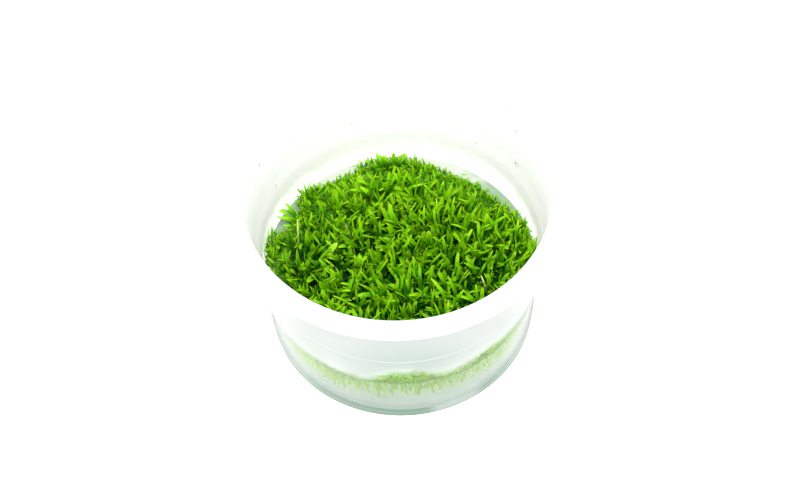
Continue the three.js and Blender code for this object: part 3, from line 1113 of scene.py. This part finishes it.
class CULTURE_OT_hanging_tips(bpy.types.Operator):
    """Grows the pale tips that hang in the gel and the runners that creep round the wall"""

    bl_idname = "culture.hanging_tips"
    bl_label = "Hanging Tips"

    def execute(self, context):
        cup = context.scene.culture.cup
        carpet = context.scene.culture.carpet
        rng = np.random.default_rng(carpet.seed + 2)
        count = carpet.hanging_count
        turn = rng.uniform(0, 2 * math.pi, count)
        bay = bay_share(carpet, turn)
        low = sunken(turn)
        radius = carpet_edge(carpet, turn) - rng.exponential(0.7 * MM, count) - 1.0 * MM * bay
        x, y = turned(turn, radius)
        tips = {
            "x": x,
            "y": y,
            "z": carpet.ground - (1.2 + 1.2 * low) * MM + rng.normal(0, 1.1 * MM, count),
            "turn": turn + rng.normal(0, 1.2, count),
            "lean": math.pi - np.abs(angles(rng, 8, 12, count)),
            "curl": angles(rng, 0, 30, count),
            "roll": np.radians(rng.uniform(0, 180, count)),
            "twist": angles(rng, 0, 60, count),
            "length": (2.0 + rng.gamma(2.4, 1.5, count)).clip(0, 10.5) * (1 - 0.4 * bay) * MM,
            "width": rng.uniform(0.4, 0.85, count) * MM,
            "tone": rng.uniform(0.6, 1.0, count),
            "dry": 0.3 * low,
        }
        count = carpet.runner_count
        turn = rng.uniform(0, 2 * math.pi, count)
        radius = carpet_edge(carpet, turn) - rng.exponential(0.8 * MM, count)
        x, y = turned(turn, radius)
        runners = {
            "x": x,
            "y": y,
            "z": carpet.ground + (rng.uniform(-1.2, 3.5, count) - 3.5 * sunken(turn)) * MM,
            "turn": turn + rng.choice([-1, 1], count) * rng.uniform(1.1, 1.6, count),
            "lean": np.radians(rng.uniform(55, 100, count)),
            "curl": angles(rng, 0, 50, count),
            "roll": np.radians(rng.uniform(0, 180, count)),
            "twist": np.zeros(count),
            "length": rng.uniform(4, 9, count) * (1 - 0.8 * bay_share(carpet, turn)) * MM,
            "width": rng.uniform(0.3, 0.55, count) * MM,
            "tone": rng.uniform(0.7, 1.0, count),
        }
        pale = blade_material("Hanging tip", carpet.fresh, carpet.pale, carpet.pale)
        blade_piece("hanging_tips", cup, tips, pale)
        blade_piece("runners", cup, runners, pale, RUNNER_OUTLINE, 1.0)
        return {"FINISHED"}


# The drops.


# The drops that stand out: direction in degrees, height and half width in mm.
MARKED_DROPS = (
    (108.1, 40.7, 0.5),
    (150.7, 37.1, 0.5),
    (31.1, 40.8, 0.75),
    (34.0, 54.3, 0.6),
    (49.0, 55.7, 0.45),
    (41.1, 59.5, 0.4),
    (30.8, 46.8, 0.3),
)


class CULTURE_OT_drops(bpy.types.Operator):
    """Beads of condensation on the inside of the wall"""

    bl_idname = "culture.drops"
    bl_label = "Drops"

    def execute(self, context):
        cup = context.scene.culture.cup
        carpet = context.scene.culture.carpet
        rng = np.random.default_rng(carpet.seed + 3)
        bead = bmesh.new()
        bmesh.ops.create_icosphere(bead, subdivisions=2, radius=1)
        form, faces = form_arrays(bead)
        count = 46
        # A drop stands out from the wall by this share of its half width.
        flat = 0.45
        turn = rng.uniform(0, 360, count)
        height = rng.uniform(34, 59, count)
        size = (0.1 + rng.gamma(1.6, 0.08, count)).clip(0.1, 0.5)
        turn_marked, height_marked, size_marked = np.transpose(MARKED_DROPS)
        turn = np.radians(np.append(turn, turn_marked))
        height = np.append(height, height_marked) * MM
        size = np.append(size, size_marked) * MM
        radius = inside_radius(cup, height) - size * flat * 0.8
        out = form[None, :, 0] * size[:, None] * flat + radius[:, None]
        side = form[None, :, 1] * size[:, None]
        z = height[:, None] + form[None, :, 2] * size[:, None]
        mesh = joined("drops", np.stack([*turned(turn[:, None], out, side), z], axis=-1), faces, {})
        piece("drops", mesh, [drop_material()])
        return {"FINISHED"}


# The stage.


class CULTURE_OT_stage(bpy.types.Operator):
    """Sets the pale table, the even light and the camera"""

    bl_idname = "culture.stage"
    bl_label = "Stage"

    def execute(self, context):
        stage = context.scene.culture.stage
        scene = context.scene
        bm = bmesh.new()
        bmesh.ops.create_circle(bm, cap_ends=True, segments=96, radius=TABLE_RADIUS)
        bmesh.ops.translate(bm, verts=bm.verts, vec=(0, 0, -0.1 * MM))
        table = shown("table", finished("table", bm))
        table.data.materials.append(floor_material(stage))

        scene.world = bpy.data.worlds.new("Even light")
        scene.world.use_nodes = True
        light = scene.world.node_tree.nodes["Background"].inputs
        light["Color"].default_value = WHITE
        light["Strength"].default_value = stage.sky

        lamp = bpy.data.lights.new("soft lamp", "AREA")
        lamp.shape = "DISK"
        lamp.size = LAMP_WIDTH
        lamp.energy = stage.lamp
        hung = shown("soft lamp", lamp)
        hung.location = LAMP_PLACE
        hung.rotation_mode = "QUATERNION"
        hung.rotation_quaternion = hung.location.to_track_quat("Z", "Y")

        lens = bpy.data.cameras.new("camera")
        lens.lens = stage.focal
        lens.sensor_width = 36
        lens.clip_start = 0.01
        camera = shown("camera", lens)
        back = Vector((0, -math.cos(stage.elevation), math.sin(stage.elevation)))
        right = Matrix.Rotation(stage.roll, 3, back) @ Vector((1, 0, 0))
        facing = Matrix((right, back.cross(right), back)).transposed().to_4x4()
        aim = Vector((0, 0, stage.aim))
        camera.matrix_world = Matrix.Translation(aim + back * stage.distance) @ facing
        scene.camera = camera
        scene.view_settings.view_transform = "Standard"
        return {"FINISHED"}


class CULTURE_PT_panel(bpy.types.Panel):
    """The cup's pieces, in the order in which they are made"""

    bl_label = "Culture Cup"
    bl_idname = "CULTURE_PT_panel"
    bl_space_type = "VIEW_3D"
    bl_region_type = "UI"
    bl_category = "Culture Cup"

    def draw(self, context):
        for operator in OPERATORS:
            self.layout.operator(operator.bl_idname)
        for name in ("cup", "gel", "carpet", "stage"):
            box = self.layout.box()
            box.label(text=name.title())
            group = getattr(context.scene.culture, name)
            for setting in group.bl_rna.properties:
                if setting.identifier not in {"rna_type", "name"}:
                    box.prop(group, setting.identifier)


OPERATORS = (
    CULTURE_OT_stage,
    CULTURE_OT_cup,
    CULTURE_OT_gel,
    CULTURE_OT_tangle,
    CULTURE_OT_blades,
    CULTURE_OT_hanging_tips,
    CULTURE_OT_drops,
)
SETTINGS = (CupSettings, GelSettings, CarpetSettings, StageSettings, CultureSettings)


def register():
    for kind in (*SETTINGS, *OPERATORS, CULTURE_PT_panel):
        bpy.utils.register_class(kind)
    bpy.types.Scene.culture = PointerProperty(type=CultureSettings)


def unregister():
    del bpy.types.Scene.culture
    for kind in reversed((*SETTINGS, *OPERATORS, CULTURE_PT_panel)):
        bpy.utils.unregister_class(kind)


def main():
    register()
    bpy.ops.culture.stage()
    bpy.ops.culture.cup()
    bpy.ops.culture.gel()
    bpy.ops.culture.tangle()
    bpy.ops.culture.blades()
    bpy.ops.culture.hanging_tips()
    bpy.ops.culture.drops()


if __name__ == "__main__":
    main()
